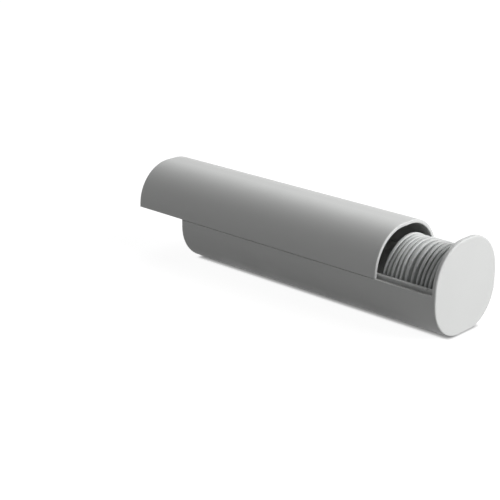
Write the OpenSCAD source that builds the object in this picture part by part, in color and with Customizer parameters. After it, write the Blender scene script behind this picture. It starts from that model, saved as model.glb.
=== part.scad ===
// Cotton pad dispenser: a tube lying on its side, split at mid height into a tray and a cover.
// The tray holds a row of round pads on edge. The cover slides back along the tray's rails and
// opens the front, where the pads are lifted out. It is drawn with the cover part way back.
// +X points to the front end plate, +Y goes across and +Z is up. The origin is on the ground,
// midway between the front of the end plate and the rear of the cover as drawn.

/* [Pads] */
// Diameter of a cotton pad
pad_d = 57; // [50:1:70]
// Thickness of a pad over its crowned middle
pad_core_t = 3; // [2:0.1:3.1]
// Thickness of a pad at its pressed rim
pad_rim_t = 2; // [1.4:0.1:2.6]
// Width of the sloping ring between the middle and the rim
pad_slope_w = 5; // [2:0.5:10]
// Distance from one pad to the next in the row
pad_pitch = 3.75; // [3.6:0.05:5]
// Number of pads in the row
pad_count = 12; // [1:1:50]
// Greatest tilt of a pad away from upright, in degrees
pad_tilt = 1.2; // [0:0.1:1.3]
// Greatest sideways shift of a pad
pad_shift = 0.4; // [0:0.1:0.8]

/* [Tray] */
// Length of the tray, with its end plate
tray_l = 240; // [215:1:320]
// Height of the seam between tray and cover above the middle of the pads
seam_rise = 3.5; // [1:0.5:7]
// Radius of the two long bottom corners
corner_r = 29; // [20:1:31]
// Wall thickness of tray and cover
wall = 2.8; // [1.8:0.1:4]
// Thickness of the front end plate
plate_t = 3.2; // [2.5:0.1:6]
// Thickness of the rear walls of tray and cover
rear_wall_t = 2.4; // [1.6:0.1:4]
// Free length between the end plate and the first pad
front_room = 2.9; // [1.5:0.1:8]

/* [Cover] */
// Free height between the pads and the cover
head_room = 5.2; // [3:0.1:20]
// Radius of the cover's two long shoulders
shoulder_r = 31; // [24:0.5:31]

/* [Rails] */
// Free width between a pad and the rail lip beside it
side_gap = 1.2; // [1:0.1:4]
// Thickness of the upright rail lip
lip_t = 0.9; // [0.8:0.1:2]
// How far the bead on the lip overhangs the groove
bead_reach = 1.1; // [0.6:0.1:2]
// Height of the bead
bead_h = 1.2; // [1:0.1:3]
// Height of the groove between the seam and the bead
groove_h = 2; // [1.2:0.1:3]
// Depth of the slot between the tray wall and the lip, below the seam
slot_depth = 2; // [0.5:0.1:4]
// Thickness of the shelf that carries the lip inside the tray wall
shelf_t = 1.5; // [1:0.1:4]
// Distance from the end plate to the front end of each bead
bead_front = 6.6; // [1:0.1:15]
// Distance from the cover's closed rear wall to the rear end of each rail
rail_rear = 1; // [0.4:0.1:10]
// Distance from the cover's mouth to the front end of each tongue
tongue_setback = 3; // [0:0.5:15]

/* [Movement] */
// How far the cover stands open as drawn
open_by = 47.5; // [0:0.5:150]

/* [Clearances] */
// Gap between tray and cover along the seam
seam_gap = 0.25; // [0.1:0.05:0.5]
// Gap between the closed cover and the end plate
plate_gap = 0.2; // [0.1:0.05:0.5]
// Gap round each tongue in its groove
tongue_gap = 0.2; // [0.1:0.05:0.4]
// Gap between each bead and the cover's inner wall
bead_gap = 0.5; // [0.3:0.05:1]
// Gap between a pad and the tray floor
floor_gap = 0.3; // [0.1:0.05:0.5]

/* [Edges] */
// Rounding of the outer edges of the end faces
face_round = 1.2; // [0.4:0.1:1.5]
// Rounding of the end plate's edge towards the cover
plate_back_round = 0.5; // [0.2:0.1:0.8]
// Rounding of the cover's mouth
mouth_round = 0.8; // [0.3:0.1:0.8]
// Rounding of the long outer edges along the seam
seam_round = 0.3; // [0.1:0.05:0.5]
// Rounding of the beads' upper edges
bead_round = 0.45; // [0.1:0.05:0.5]

/* [Hidden] */
$fn = 100;
pad_r = pad_d / 2;
lip_in = pad_r + side_gap;
lip_out = lip_in + lip_t;
bead_out = lip_out + bead_reach;
inner_r = bead_out + bead_gap;
outer_r = inner_r + wall;

// Lengths along the tube, and the places of its ends
cover_l = tray_l - plate_t - plate_gap;
face_x = (tray_l + open_by) / 2;
plate_back_x = face_x - plate_t;
tray_rear_x = face_x - tray_l;
mouth_x = plate_back_x - plate_gap - open_by;
cover_rear_x = mouth_x - cover_l;

// Heights
pad_z = wall + floor_gap + pad_r;
seam_z = pad_z + seam_rise;
top_z = pad_z + pad_r + head_room + wall;
shoulder_z = top_z - shoulder_r;
bead_z = seam_z + groove_h;
bead_top_z = bead_z + bead_h;
cover_z = seam_z + seam_gap;
tongue_h = groove_h - seam_gap - tongue_gap;
tongue_in = lip_out + tongue_gap;

// Extra length that makes cuts and joined pieces reach past a face
over = 1;

// Angles that spread the pads' tilts and shifts along the row, in degrees
lean_step = 41;
swing_step = 29;
shift_step = 67;

function two_digits(i) = str(i < 10 ? "0" : "", i);
function pad_name(i) = str("pad_", two_digits(i));
function pad_x(i) = plate_back_x - front_room - (i - 1 / 2) * pad_pitch;

// Turns a shape drawn in the XY plane and raised along Z so that it stands across the tube:
// its x goes to +Y, its y to +Z and its height to +X
module along_tube(from_x) {
    translate([from_x, 0, 0]) rotate([90, 0, 90]) children();
}

// The corner that a rounding of radius r takes away, with its sharp point at the origin and
// its material towards -x and -y
module round_off(r) {
    difference() {
        translate([-r, -r]) square(r + over);
        translate([-r, -r]) circle(r);
    }
}

// Half section of a solid bar: reach from the axis, length along it, both outer ends rounded
module bar_section(reach, length, rear_round, front_round) {
    difference() {
        square([reach, length]);
        translate([reach, length]) round_off(front_round);
        translate([reach, 0]) mirror([0, 1]) round_off(rear_round);
    }
}

// One upright side of the outline, between two heights, from the half section that is its child
module upright_side(low_z, high_z) {
    translate([0, low_z, 0]) rotate([-90, 0, 0]) mirror([0, 1, 0])
        linear_extrude(high_z - low_z) children();
}

// The outline below its corner centres: two corner arcs and the flat between them, from the
// half section that is its child, which reaches as far as the corner radius
module corners_and_flat(radius) {
    flat_half = outer_r - radius;
    for (side = [0, 1]) mirror([side, 0, 0]) translate([flat_half, 0, 0])
        rotate_extrude(angle = 90, start = 270) children();
    translate([-flat_half, 0, 0]) rotate([0, 90, 0]) rotate([0, 0, -90]) mirror([0, 1, 0])
        linear_extrude(2 * flat_half) children();
}

// The lower outline as a solid bar up to the seam, with rounded end edges
module lower_bar(from_x, length, rear_round, front_round) {
    along_tube(from_x) {
        translate([0, corner_r, 0]) corners_and_flat(corner_r)
            bar_section(corner_r, length, rear_round, front_round);
        for (side = [0, 1]) mirror([side, 0, 0]) upright_side(corner_r, seam_z)
            bar_section(outer_r, length, rear_round, front_round);
    }
}

// The upper outline, from the half section of its upright sides and that of its shoulders
module upper_outline(from_x) {
    along_tube(from_x) {
        for (side = [0, 1]) mirror([side, 0, 0])
            upright_side(corner_r, shoulder_z) children(0);
        translate([0, shoulder_z, 0]) mirror([0, 1, 0])
            corners_and_flat(shoulder_r) children(1);
    }
}

// The lower inner outline, open at the top
module tray_cavity_section() {
    flat_half = outer_r - corner_r;
    inner_corner_r = corner_r - wall;
    for (side = [-1, 1]) translate([side * flat_half, corner_r]) circle(inner_corner_r);
    translate([-flat_half, wall]) square([2 * flat_half, corner_r]);
    translate([-inner_r, corner_r]) square([2 * inner_r, corner_r]);
}

// One rail: a shelf inside the tray wall and an upright lip, whose head goes out as far as reach
module rail_section(reach) {
    slot_z = seam_z - slot_depth;
    shelf_z = slot_z - shelf_t;
    shelf_low_z = shelf_z - (inner_r - lip_in);
    in_wall = inner_r + wall / 2;
    difference() {
        union() {
            polygon([
                [lip_in, bead_top_z], [lip_out, bead_top_z], [lip_out, slot_z],
                [in_wall, slot_z], [in_wall, shelf_low_z], [inner_r, shelf_low_z],
                [lip_in, shelf_z]
            ]);
            translate([lip_in, bead_z]) square([reach - lip_in, bead_h]);
        }
        translate([reach, bead_top_z]) round_off(bead_round);
        translate([lip_in, bead_top_z]) mirror([1, 0]) round_off(bead_round);
    }
}

// Half section of the end plate
module plate_section(reach) {
    bar_section(reach, plate_t, plate_back_round, face_round);
}

module tray() {
    rail_start_x = tray_rear_x + rear_wall_t + rail_rear;
    bead_end_x = plate_back_x - bead_front;
    color([0.80, 0.81, 0.80]) union() {
        difference() {
            lower_bar(tray_rear_x, tray_l, face_round, face_round);
            along_tube(tray_rear_x + rear_wall_t)
                linear_extrude(tray_l - rear_wall_t - plate_t) tray_cavity_section();
            // the long outer edges at the seam
            for (side = [0, 1]) mirror([0, side, 0]) along_tube(tray_rear_x - over)
                linear_extrude(tray_l - plate_t + over)
                    translate([outer_r, seam_z]) round_off(seam_round);
        }
        // the upper half of the end plate
        upper_outline(plate_back_x) {
            plate_section(outer_r);
            plate_section(shoulder_r);
        }
        // the rails with their beads, and the bare lips from there to the end plate
        for (side = [0, 1]) mirror([0, side, 0]) {
            along_tube(rail_start_x) linear_extrude(bead_end_x - rail_start_x)
                rail_section(bead_out);
            along_tube(bead_end_x) linear_extrude(bead_front + plate_t / 2)
                rail_section(lip_out);
        }
    }
}

// Half section of the cover: its rear wall on the axis and its shell up to the mouth
module cover_section(reach) {
    inner_reach = reach - wall;
    difference() {
        bar_section(reach, cover_l, face_round, mouth_round);
        translate([-over, rear_wall_t]) square([inner_reach + over, cover_l]);
        translate([inner_reach, cover_l]) mirror([1, 0]) round_off(mouth_round);
    }
}

// One tongue, which hooks under the bead of the rail beside it
module tongue_section() {
    translate([tongue_in, cover_z]) square([inner_r + wall / 2 - tongue_in, tongue_h]);
}

module cover() {
    tongue_start_x = cover_rear_x + rear_wall_t / 2;
    tongue_end_x = mouth_x - tongue_setback;
    color([0.82, 0.83, 0.82]) union() {
        difference() {
            upper_outline(cover_rear_x) {
                cover_section(outer_r);
                cover_section(shoulder_r);
            }
            // all that lies below the gap along the seam
            translate([cover_rear_x - over, -outer_r - over, -over])
                cube([cover_l + 2 * over, 2 * (outer_r + over), over + cover_z]);
            // the long outer edges at the seam
            for (side = [0, 1]) mirror([0, side, 0]) along_tube(cover_rear_x - over)
                linear_extrude(cover_l + 2 * over)
                    translate([outer_r, cover_z]) mirror([0, 1]) round_off(seam_round);
        }
        for (side = [0, 1]) mirror([0, side, 0]) along_tube(tongue_start_x)
            linear_extrude(tongue_end_x - tongue_start_x) tongue_section();
    }
}

// Half section of a pad, from its middle out to its round rim
module pad_section() {
    rim_r = pad_rim_t / 2;
    slope_r = pad_r - rim_r;
    crown_r = slope_r - pad_slope_w;
    intersection() {
        union() {
            polygon([
                [0, -pad_core_t / 2], [crown_r, -pad_core_t / 2], [slope_r, -rim_r],
                [slope_r, rim_r], [crown_r, pad_core_t / 2], [0, pad_core_t / 2]
            ]);
            translate([slope_r, 0]) circle(rim_r);
        }
        translate([0, -pad_core_t]) square([pad_d, 2 * pad_core_t]);
    }
}

// A pad on edge in the row. Each one leans, swings and shifts a little from its neighbours.
module pad(i) {
    lean = pad_tilt * sin(i * lean_step);
    swing = pad_tilt * sin(i * swing_step);
    shift = pad_shift * sin(i * shift_step);
    color("white") translate([pad_x(i), shift, pad_z]) rotate([0, lean, swing])
        rotate([0, 90, 0]) rotate_extrude() pad_section();
}

tray();
cover();
for (i = [1:pad_count])
    pad(i);
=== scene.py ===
# %% [markdown]
# # A cotton pad dispenser
# A light grey plastic tube lies on its side. Its lower half is a tray, its upper half is a cover
# that slides back on two rails, and a row of round cotton pads stands on edge inside. The tray
# and the cover come from the CAD model as they are. This lesson adds the camera, the light, the
# plastic finish and the soft cotton pads.

# %% Load the CAD model
import math
import random

import bmesh
import bpy
import numpy as np
from mathutils import Matrix, Vector, bvhtree


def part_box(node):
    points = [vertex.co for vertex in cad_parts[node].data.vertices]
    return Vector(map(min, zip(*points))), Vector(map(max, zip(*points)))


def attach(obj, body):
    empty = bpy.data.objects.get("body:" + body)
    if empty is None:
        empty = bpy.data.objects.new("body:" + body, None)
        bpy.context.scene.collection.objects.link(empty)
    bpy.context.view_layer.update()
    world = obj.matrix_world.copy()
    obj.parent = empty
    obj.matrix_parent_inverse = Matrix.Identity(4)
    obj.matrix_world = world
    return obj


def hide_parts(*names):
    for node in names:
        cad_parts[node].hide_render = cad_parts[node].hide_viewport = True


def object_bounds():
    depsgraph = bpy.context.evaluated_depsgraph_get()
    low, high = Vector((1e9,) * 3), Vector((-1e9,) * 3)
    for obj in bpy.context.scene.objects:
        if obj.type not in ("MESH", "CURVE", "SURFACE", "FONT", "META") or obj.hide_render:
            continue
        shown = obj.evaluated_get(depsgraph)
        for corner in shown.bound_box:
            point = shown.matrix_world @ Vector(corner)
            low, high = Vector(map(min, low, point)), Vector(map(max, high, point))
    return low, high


MM = 0.001

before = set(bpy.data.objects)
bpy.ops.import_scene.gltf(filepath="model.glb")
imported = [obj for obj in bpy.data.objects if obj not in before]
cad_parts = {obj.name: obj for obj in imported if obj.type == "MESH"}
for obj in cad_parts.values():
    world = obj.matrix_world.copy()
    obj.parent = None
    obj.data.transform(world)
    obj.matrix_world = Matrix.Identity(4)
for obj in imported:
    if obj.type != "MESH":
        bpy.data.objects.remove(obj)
cad_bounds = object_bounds()
scene = bpy.context.scene
pad_names = sorted(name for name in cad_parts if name.startswith("pad_"))
cad_size = cad_bounds[1] - cad_bounds[0]
print("CAD size in mm:", [round(side / MM, 1) for side in cad_size], "and", len(pad_names), "pads")

# %% [markdown]
# ## Small helpers
# Three things are needed again and again: a hex colour turned into the linear values that a
# shader works with, one node added with its settings and links, and a clean selection, because
# an operator acts on everything that is selected.

# %% Colours, nodes and selection
def linear(code):
    """A six-digit sRGB hex colour as linear red, green, blue and alpha."""
    parts = [int(code[i:i + 2], 16) / 255 for i in (0, 2, 4)]
    curve = [v / 12.92 if v <= 0.04045 else ((v + 0.055) / 1.055) ** 2.4 for v in parts]
    return curve + [1]


def add_node(tree, kind, values=None, links=None, **settings):
    """Adds one shader node, with its settings, its socket values and its incoming links."""
    node = tree.nodes.new("ShaderNode" + kind)
    for name, value in settings.items():
        setattr(node, name, value)
    for socket, value in (values or {}).items():
        node.inputs[socket].default_value = value
    for socket, source in (links or {}).items():
        tree.links.new(source, node.inputs[socket])
    return node


def new_material(name):
    """An empty node material and its output node."""
    material = bpy.data.materials.new(name)
    material.use_nodes = True
    material.node_tree.nodes.clear()
    return material, add_node(material.node_tree, "OutputMaterial")


def select_nothing():
    """Leaves edit mode and clears the selection."""
    if bpy.context.object and bpy.context.object.mode != "OBJECT":
        bpy.ops.object.mode_set(mode="OBJECT")
    bpy.ops.object.select_all(action="DESELECT")


select_nothing()
print("linear value of a middle grey, 808080:", [round(v, 3) for v in linear("808080")[:3]])

# %% [markdown]
# ## The camera
# The picture is taken from the front left and a little above, from more than a metre away, so
# the tube's long edges run almost parallel. A long lens from far back gives that calm look. The
# camera's turn and tip come from the directions of the tube's edges in the picture.

# %% Camera
CAMERA_AT = Vector((0.62965, -0.72711, 0.36559))
CAMERA_TURN = math.radians(43.35)
CAMERA_TIP = math.radians(19.53)
LENS = 98.65
SENSOR_WIDTH = 36

bpy.ops.object.camera_add(
    location=CAMERA_AT, rotation=(math.pi / 2 - CAMERA_TIP, 0, CAMERA_TURN)
)
camera = bpy.context.object
camera.name = "camera"
camera.data.lens = LENS
camera.data.sensor_width = SENSOR_WIDTH
camera.data.dof.use_dof = False
scene.camera = camera
scene.view_settings.view_transform = "Standard"
print("camera", round(CAMERA_AT.length, 3), "m from the point under the middle of the object")

# %% [markdown]
# ## The floor
# The object lies in an evenly white studio. A white floor that simply catches the lamps would
# turn grey or would throw too much light back up. So the floor is white only to the camera and
# in reflections, and a middle grey to the light that bounces. The lamps leave a faint, wide
# shadow on it, and an ambient occlusion node darkens the narrow wedge of floor under the tube's
# curve, which no light from above reaches.

# %% Studio floor
FLOOR_SIZE = 12
FLOOR_GLOW = (0.05, 0.93)  # in the wedge under the tube, and out in the open
WEDGE_REACH = 3 * MM
WEDGE_SAMPLES = 8


def seen_directly(tree):
    """A socket that is 1 for camera, mirror and see-through rays and 0 for bounced light."""
    path = add_node(tree, "LightPath")
    first = add_node(tree, "Math", operation="MAXIMUM", links={
        0: path.outputs["Is Camera Ray"], 1: path.outputs["Is Glossy Ray"]})
    both = add_node(tree, "Math", operation="MAXIMUM", links={
        0: first.outputs[0], 1: path.outputs["Is Transmission Ray"]})
    return both.outputs[0]


bpy.ops.mesh.primitive_plane_add(size=FLOOR_SIZE, location=(0, 0, 0))
floor = bpy.context.object
floor.name = "studio_floor"
floor_paint, output = new_material("white_paper_floor")
tree = floor_paint.node_tree
paper = add_node(tree, "BsdfDiffuse", {"Color": linear("808080")})
wedge = add_node(tree, "AmbientOcclusion", {"Distance": WEDGE_REACH}, samples=WEDGE_SAMPLES)
glow_level = add_node(tree, "MapRange", {"To Min": FLOOR_GLOW[0], "To Max": FLOOR_GLOW[1]},
                      {"Value": wedge.outputs["AO"]})
glow = add_node(tree, "Emission", {"Color": linear("FFFFFF")}, {"Strength": glow_level.outputs[0]})
lit_paper = add_node(tree, "AddShader", links={0: paper.outputs[0], 1: glow.outputs[0]})
dull = add_node(tree, "BsdfDiffuse", {"Color": linear("8C8C8C")})
floor_mix = add_node(tree, "MixShader", links={
    0: seen_directly(tree), 1: dull.outputs[0], 2: lit_paper.outputs[0]})
tree.links.new(floor_mix.outputs[0], output.inputs["Surface"])
floor.data.materials.append(floor_paint)
print("floor", FLOOR_SIZE, "m wide, dark within", round(WEDGE_REACH / MM, 1), "mm of the tube")

# %% [markdown]
# ## The surroundings
# What lies beyond the floor is built the same way. To the camera and in reflections it is plain
# white, and as a source of light it is nearly dark, so that the lamps alone shape the tube.

# %% White surroundings
SURROUND_LIGHT = 0.03

world = bpy.data.worlds.new("white_studio")
scene.world = world
world.use_nodes = True
tree = world.node_tree
tree.nodes.clear()
soft_light = add_node(tree, "Background", {"Color": linear("FFFFFF"), "Strength": SURROUND_LIGHT})
backdrop = add_node(tree, "Background", {"Color": linear("FFFFFF"), "Strength": 1})
world_mix = add_node(tree, "MixShader", links={
    0: seen_directly(tree), 1: soft_light.outputs[0], 2: backdrop.outputs[0]})
add_node(tree, "OutputWorld", links={"Surface": world_mix.outputs[0]})
print("light from the surroundings:", SURROUND_LIGHT)

# %% [markdown]
# ## The lamps
# The end face and the top of the tube are bright and the near side is in soft shade, so the main
# light comes from three large softboxes in an arc, from the right of the end face round to
# behind the tube. One lamp of the same strength would bleach the far side, which this arc
# doesn't. Two weak ones open up the shade: one at the rear left, whose light slants across the
# gaps between the pads and leaves them dark, and one at the front left, beside the camera.
# Softboxes are area lamps: the larger the lamp, the softer the step from light to shade.

# %% Softboxes
AIM = Vector((0, 0, 0.035))
LAMP_DISTANCE = 2.0
# each softbox: the direction it stands in, the length of its side in m and its power in W
SOFTBOXES = {
    "right_softbox": ((0.85, 0.30, 0.45), 1.2, 40),
    "back_right_softbox": ((0.57, 0.63, 0.53), 1.2, 11.5),
    "back_softbox": ((-0.40, 0.60, 0.70), 1.2, 11.5),
    "rear_left_softbox": ((-0.70, -0.70, 0.45), 2.0, 4.7),
    "front_left_softbox": ((0.60, -0.80, 0.40), 2.0, 4.2),
}


def add_softbox(name, direction, side, power):
    """A square area lamp that looks at the object from a direction."""
    place = AIM + Vector(direction).normalized() * LAMP_DISTANCE
    bpy.ops.object.light_add(type="AREA", location=place)
    lamp = bpy.context.object
    lamp.name = name
    lamp.data.shape = "SQUARE"
    lamp.data.size = side
    lamp.data.energy = power
    lamp.rotation_euler = (AIM - place).to_track_quat("-Z", "Y").to_euler()


for lamp_name, (direction, side, power) in SOFTBOXES.items():
    add_softbox(lamp_name, direction, side, power)

# %% [markdown]
# ## Moulded plastic
# The tray and the cover are injection-moulded ABS in a light, neutral grey. The steel mould has a
# fine spark-eroded grain, which the plastic copies: it takes the shine down to satin, and a
# highlight becomes a wide soft band. Real grain is about 0.1 mm, too fine to show here, so it is
# drawn at 0.5 mm and very shallow. A slow change of tone and shine over a few centimetres, as
# the melt leaves it, keeps the long plain surfaces from looking computed.

# %% Plastic for the tray and the cover
GRAIN_SIZE = 0.5 * MM
GRAIN_DEPTH = 0.012 * MM
FLOW_SIZE = 35 * MM
ABS_IOR = 1.53
SATIN = (0.52, 0.60)  # the least and the greatest roughness
# the sockets of a Mix node's two colours and its result, which share their names with others
MIX_FIRST, MIX_SECOND, MIX_RESULT = 6, 7, 2


def moulded_abs(name, light, dark):
    """Satin moulded ABS: a fine grain, and slow drifts of tone and shine."""
    material, output = new_material(name)
    tree = material.node_tree
    place = add_node(tree, "TexCoord").outputs["Object"]
    flow = add_node(tree, "TexNoise", {
        "Scale": 1 / FLOW_SIZE, "Detail": 2, "Roughness": 0.5}, {"Vector": place})
    grain = add_node(tree, "TexNoise", {
        "Scale": 1 / GRAIN_SIZE, "Detail": 2, "Roughness": 0.6}, {"Vector": place})
    tone = add_node(tree, "Mix", {MIX_FIRST: linear(dark), MIX_SECOND: linear(light)},
                    {0: flow.outputs["Fac"]}, data_type="RGBA")
    shine = add_node(tree, "MapRange", {
        "From Min": 0.3, "From Max": 0.7, "To Min": SATIN[0], "To Max": SATIN[1]},
        {"Value": flow.outputs["Fac"]})
    bump = add_node(tree, "Bump", {"Strength": 0.6, "Distance": GRAIN_DEPTH},
                    {"Height": grain.outputs["Fac"]})
    shader = add_node(tree, "BsdfPrincipled", {"IOR": ABS_IOR}, {
        "Base Color": tone.outputs[MIX_RESULT], "Roughness": shine.outputs[0],
        "Normal": bump.outputs[0]})
    tree.links.new(shader.outputs[0], output.inputs["Surface"])
    return material


tray_finish = moulded_abs("abs_moulded_grey_tray", "CBCCCB", "C5C6C5")
cover_finish = moulded_abs("abs_moulded_grey_cover", "CCCDCC", "C6C7C6")
for node_name, finish in (("tray", tray_finish), ("cover", cover_finish)):
    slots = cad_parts[node_name].material_slots
    for slot in slots:
        slot.material = finish
    print(node_name, "has", len(slots), "material slot with", finish.name)

# %% [markdown]
# ## Cotton wool
# The pads are pressed cotton wool. Cotton is a very light, dull white, and loose fibre ends
# catch light at the edges, which the sheen gives. The surface is felted: fibres cross at random,
# so a fine noise roughens it, and slightly thicker and thinner places show as low lumps. A real
# fibre is about 0.02 mm thick, too fine to show here, so the noise is drawn at 0.45 mm.

# %% Cotton for the pads
FIBRE_SIZE = 0.45 * MM
FIBRE_DEPTH = 0.08 * MM
LUMP_SIZE = 4 * MM
LUMP_DEPTH = 0.3 * MM
COTTON_IOR = 1.5

cotton, output = new_material("cotton_wool_pressed")
tree = cotton.node_tree
place = add_node(tree, "TexCoord").outputs["Object"]
fibres = add_node(tree, "TexNoise", {
    "Scale": 1 / FIBRE_SIZE, "Detail": 3, "Roughness": 0.65, "Distortion": 1.2},
    {"Vector": place})
lumps = add_node(tree, "TexNoise", {"Scale": 1 / LUMP_SIZE, "Detail": 2}, {"Vector": place})
tone = add_node(tree, "Mix", {MIX_FIRST: linear("CACCCB"), MIX_SECOND: linear("D9DBDA")},
                {0: lumps.outputs["Fac"]}, data_type="RGBA")
lump_bump = add_node(tree, "Bump", {"Strength": 0.5, "Distance": LUMP_DEPTH},
                     {"Height": lumps.outputs["Fac"]})
fibre_bump = add_node(tree, "Bump", {"Strength": 0.5, "Distance": FIBRE_DEPTH},
                      {"Height": fibres.outputs["Fac"], "Normal": lump_bump.outputs[0]})
shader = add_node(tree, "BsdfPrincipled", {
    "Roughness": 0.95, "IOR": COTTON_IOR, "Sheen Weight": 0.1, "Sheen Roughness": 0.5,
    "Specular IOR Level": 0.2},
    {"Base Color": tone.outputs[MIX_RESULT], "Normal": fibre_bump.outputs[0]})
tree.links.new(shader.outputs[0], output.inputs["Surface"])
print("cotton:", len(tree.nodes), "nodes")

# %% [markdown]
# ## One pad
# A pad is a disc punched from a layer of cotton wool. The punch presses its rim thin and leaves
# a row of short crimps just inside it, and the middle stays thicker. It is made as a flat
# cylinder whose two caps are inset ring by ring, each ring raised or sunk a little, which gives
# the pressed rim, the crimped ring and the crown. The sharp rim edges are then bevelled round.

# %% Model the pattern of all pads, lying flat
PAD_SIDES = 288
RIM_THICKNESS = 2.3 * MM
RIM_ROUND = 0.8 * MM
RIM_STEPS = 4
TOUCHING = 0.01 * MM
# each ring: how far in from the last one, and how far it rises, in mm
PAD_RINGS = [(1.3, 0.0), (0.6, -0.16), (0.8, 0.0), (0.8, 0.20), (1.6, 0.20), (2.2, 0.10),
             (5.0, 0.03), (7.0, 0.0), (6.0, -0.03)]

first_low, first_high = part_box(pad_names[0])
pad_radius = (first_high.z - first_low.z) / 2

bpy.ops.mesh.primitive_cylinder_add(
    vertices=PAD_SIDES, radius=pad_radius, depth=RIM_THICKNESS, end_fill_type="NGON"
)
pattern = bpy.context.object
pattern.name = "pad_pattern"
bpy.ops.object.mode_set(mode="EDIT")
bpy.ops.mesh.select_mode(type="FACE")
edit = bmesh.from_edit_mesh(pattern.data)
for face in edit.faces:
    face.select_set(abs(face.normal.z) > 0.9)
bmesh.update_edit_mesh(pattern.data)
for step_in, rise in PAD_RINGS:
    bpy.ops.mesh.inset(thickness=step_in * MM, depth=rise * MM)
bpy.ops.mesh.poke()
edit = bmesh.from_edit_mesh(pattern.data)
print("the pattern with its rings:", len(edit.faces), "faces")

# %% Round the rim's two edges
bpy.ops.mesh.select_mode(type="EDGE")
edit = bmesh.from_edit_mesh(pattern.data)
for edge in edit.edges:
    ends = [v.co for v in edge.verts]
    edge.select_set(all(abs(c.xy.length - pad_radius) < TOUCHING for c in ends)
                    and abs(ends[0].z - ends[1].z) < TOUCHING)
bmesh.update_edit_mesh(pattern.data)
bpy.ops.mesh.bevel(offset=RIM_ROUND, segments=RIM_STEPS, affect="EDGES")
bpy.ops.object.mode_set(mode="OBJECT")
print("one pad:", len(pattern.data.vertices), "vertices, thickness",
      round(pattern.dimensions.z / MM, 2), "mm")

# %% [markdown]
# The crimps are radial pinches in the sunk ring. Their number round the rim and the ring's
# distance from the edge are all that is needed, so a short formula moves the points up and down
# as a crimping wheel would.

# %% Crimp the rim
CRIMPS = 72
CRIMP_RING = (25.0 * MM, 27.4 * MM)
CRIMP_DEPTH = 0.14 * MM
EDGE_BAND = 0.6 * MM
EDGE_CRIMP = 0.08 * MM


def crimp(point, depth):
    """How far the crimping wheel pushes a point of the pad's faces towards its middle plane."""
    radius = point.xy.length
    low, high = CRIMP_RING
    if not low < radius < high:
        return 0
    across = math.sin(math.pi * (radius - low) / (high - low))
    around = math.cos(CRIMPS * math.atan2(point.y, point.x))
    return depth * across * around


def pinch(point, depth):
    """How far the same crimps draw a point of the pad's outer edge inwards."""
    if point.xy.length < pad_radius - EDGE_BAND:
        return 0
    return depth * (0.5 + 0.5 * math.cos(CRIMPS * math.atan2(point.y, point.x)))


print("crimps every", round(2 * math.pi * pad_radius / CRIMPS / MM, 2), "mm")

# %% [markdown]
# ## The row of pads
# Every pad is a copy of the pattern with its own mesh, because no two real ones are alike: each
# rim is a little wavy, a little thicker or thinner, and turned to another angle. A seeded random
# generator chooses these, so each run gives the same row.

# %% Shape a flat copy
WAVES = (2, 3, 5, 7)
WAVE_HEIGHTS = (0.08 * MM, 0.07 * MM, 0.05 * MM, 0.03 * MM)
SWELL_RANGE = (0.95, 1.05)
CRIMP_RANGE = (0.3, 1.0)
SIZE_RANGE = (0.985, 1.0)
chance = random.Random(57)


def shape_copy(mesh, edge_depth):
    """Gives one flat copy of the pattern its own waves, thickness, crimps and size."""
    phases = [chance.uniform(0, 2 * math.pi) for _ in WAVES]
    swell = chance.uniform(*SWELL_RANGE)
    crimp_depth = CRIMP_DEPTH * chance.uniform(*CRIMP_RANGE)
    size = chance.uniform(*SIZE_RANGE)
    for vertex in mesh.vertices:
        point = vertex.co.copy()
        rim_share = min(1, point.xy.length / pad_radius)
        angle = math.atan2(point.y, point.x)
        wave = sum(height * math.cos(count * angle + phase)
                   for count, height, phase in zip(WAVES, WAVE_HEIGHTS, phases))
        side = math.copysign(1, point.z)
        height = point.z * swell - side * crimp(point, crimp_depth)
        drawn_in = size * (1 - pinch(point, edge_depth) / pad_radius)
        vertex.co = (point.x * drawn_in, point.y * drawn_in, height + wave * rim_share ** 2)


print("a rim waves by", round(sum(WAVE_HEIGHTS) / MM, 2), "mm at most")

# %% [markdown]
# Loose rims also lean on each other. In the picture the third to sixth lean towards the end
# plate and the seventh has sprung open, so a short list gives each pad how far its rim bends
# forwards, low on the near side and at the top, and how thick it is. The tray squeezes the rims
# low down, where the gaps are wide and dark, and lets them spread at the top, where they almost
# touch.

# %% Bend and open a rim
# for each pad from the front: the bend low on the near side, the bend at the top, in mm, and
# the rim's thickness on the near side as a share of the pattern's
RIM_LOOKS = [(0.0, 0.4, 1.0), (0.2, 0.8, 1.0), (0.4, 1.2, 0.85), (1.5, 1.8, 0.8),
             (1.7, 2.2, 1.0), (0.9, 1.3, 1.05), (-0.5, -1.1, 1.4), (-0.4, -1.1, 0.85),
             (-0.2, -0.4, 1.0), (-0.3, 0.2, 1.0), (-0.5, 0.6, 1.0), (0.0, 0.8, 1.0)]
LOW_ANGLE, TOP_ANGLE = math.radians(19), math.radians(52)
LOW_SQUEEZE, TOP_SPREAD = 0.78, 1.22
# a bend and an opening fade from the rim to the middle as these powers of the radius
BEND_FADE, OPENING_FADE = 6, 8


def climb(angle):
    """How far an angle has climbed from the low to the top angle, from 0 to 1, with soft ends."""
    share = min(1, max(0, (angle - LOW_ANGLE) / (TOP_ANGLE - LOW_ANGLE)))
    return share * share * (3 - 2 * share)


def near_side_weight(angle):
    """How much a rim's own bend counts at an angle up from the near side, from 0 to 1."""
    return (0.5 + 0.5 * math.cos(angle - (LOW_ANGLE + TOP_ANGLE) / 2)) ** 2


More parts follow.
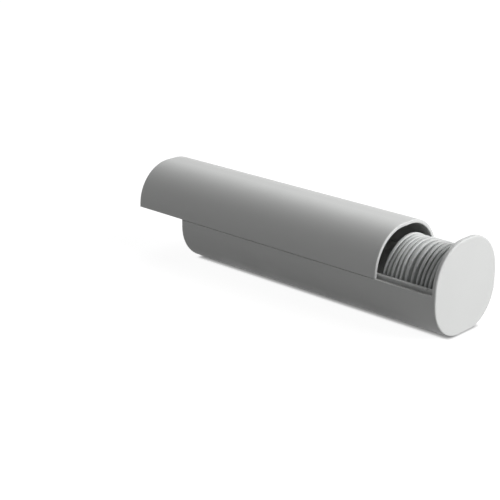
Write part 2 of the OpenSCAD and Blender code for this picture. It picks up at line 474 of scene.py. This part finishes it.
def bend_rim(mesh, middle, thin, look):
    """Bends and opens the rim of a standing pad, as its look says."""
    low_bend, top_bend, openness = look
    for vertex in mesh.vertices:
        offset = vertex.co - middle
        depth = offset.dot(thin)
        radius_share = min(1, (offset - depth * thin).length / pad_radius)
        angle = math.atan2(offset.z, -offset.y)
        weight = near_side_weight(angle)
        bend = (low_bend + (top_bend - low_bend) * climb(angle)) * MM * weight
        spread = climb(math.atan2(offset.z, abs(offset.y)))
        thickness = LOW_SQUEEZE + (TOP_SPREAD - LOW_SQUEEZE) * spread
        thickness *= 1 + (openness - 1) * weight
        opening = depth * (thickness - 1)
        vertex.co += thin * (bend * radius_share ** BEND_FADE
                             + opening * radius_share ** OPENING_FADE)


print("the rims bend by", min(min(look[:2]) for look in RIM_LOOKS), "to",
      max(max(look[:2]) for look in RIM_LOOKS), "mm")

# %% [markdown]
# A copy stands exactly where its CAD pad stands: its middle is the middle of the CAD pad's box,
# and its thin direction is the one in which the CAD pad's points spread least.

# %% Stand the copies in a row
def stand_of(name):
    """The middle and the thin direction of a CAD pad, pointing forwards."""
    points = np.array([v.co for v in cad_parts[name].data.vertices])
    low, high = points.min(0), points.max(0)
    spread = np.linalg.svd(points - points.mean(0), full_matrices=False)[2]
    thin = spread[2] * math.copysign(1, spread[2][0])
    return Vector((low + high) / 2), Vector(thin)


def add_pad(name, look):
    """One pad as a copy of the pattern, placed, with its rim bent and opened as listed."""
    mesh = pattern.data.copy()
    mesh.name = name
    shape_copy(mesh, EDGE_CRIMP * look[2] ** 3)
    middle, thin = stand_of(name)
    turn = Matrix.Rotation(chance.uniform(0, 2 * math.pi), 4, "Z")
    stand = thin.to_track_quat("Z", "Y").to_matrix().to_4x4()
    mesh.transform(Matrix.Translation(middle) @ stand @ turn)
    bend_rim(mesh, middle, thin, look)
    pad = bpy.data.objects.new("cotton_" + name, mesh)
    scene.collection.objects.link(pad)
    mesh.materials.clear()
    mesh.materials.append(cotton)
    return pad


pads = [add_pad(name, look) for name, look in zip(pad_names, RIM_LOOKS)]
bpy.data.objects.remove(pattern)
select_nothing()
for pad in pads:
    pad.select_set(True)
bpy.context.view_layer.objects.active = pads[0]
bpy.ops.object.shade_smooth()
select_nothing()
print(len(pads), "pads with", sum(len(p.data.polygons) for p in pads), "faces")

# %% Check that no pad cuts its neighbour
CHECK_EVERY = 7  # the gap is measured from each seventh point

trees = []
for pad in pads:
    corners = [v.co for v in pad.data.vertices]
    trees.append(bvhtree.BVHTree.FromPolygons(corners, [p.vertices for p in pad.data.polygons]))
cuts = sum(bool(a.overlap(b)) for a, b in zip(trees, trees[1:]))
gaps = [min(tree.find_nearest(v.co)[3] for v in list(pad.data.vertices)[::CHECK_EVERY])
        for pad, tree in zip(pads, trees[1:])]
print("pads that cut a neighbour:", cuts, "and the gaps in mm:", [round(g / MM, 2) for g in gaps])

# %% [markdown]
# ## The pads on the tray
# Each pad stands for its CAD pad, which is hidden, and moves with the tray.

# %% Hang each pad on the tray and hide its CAD pad
for name, pad in zip(pad_names, pads):
    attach(pad, "tray")
    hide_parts(name)
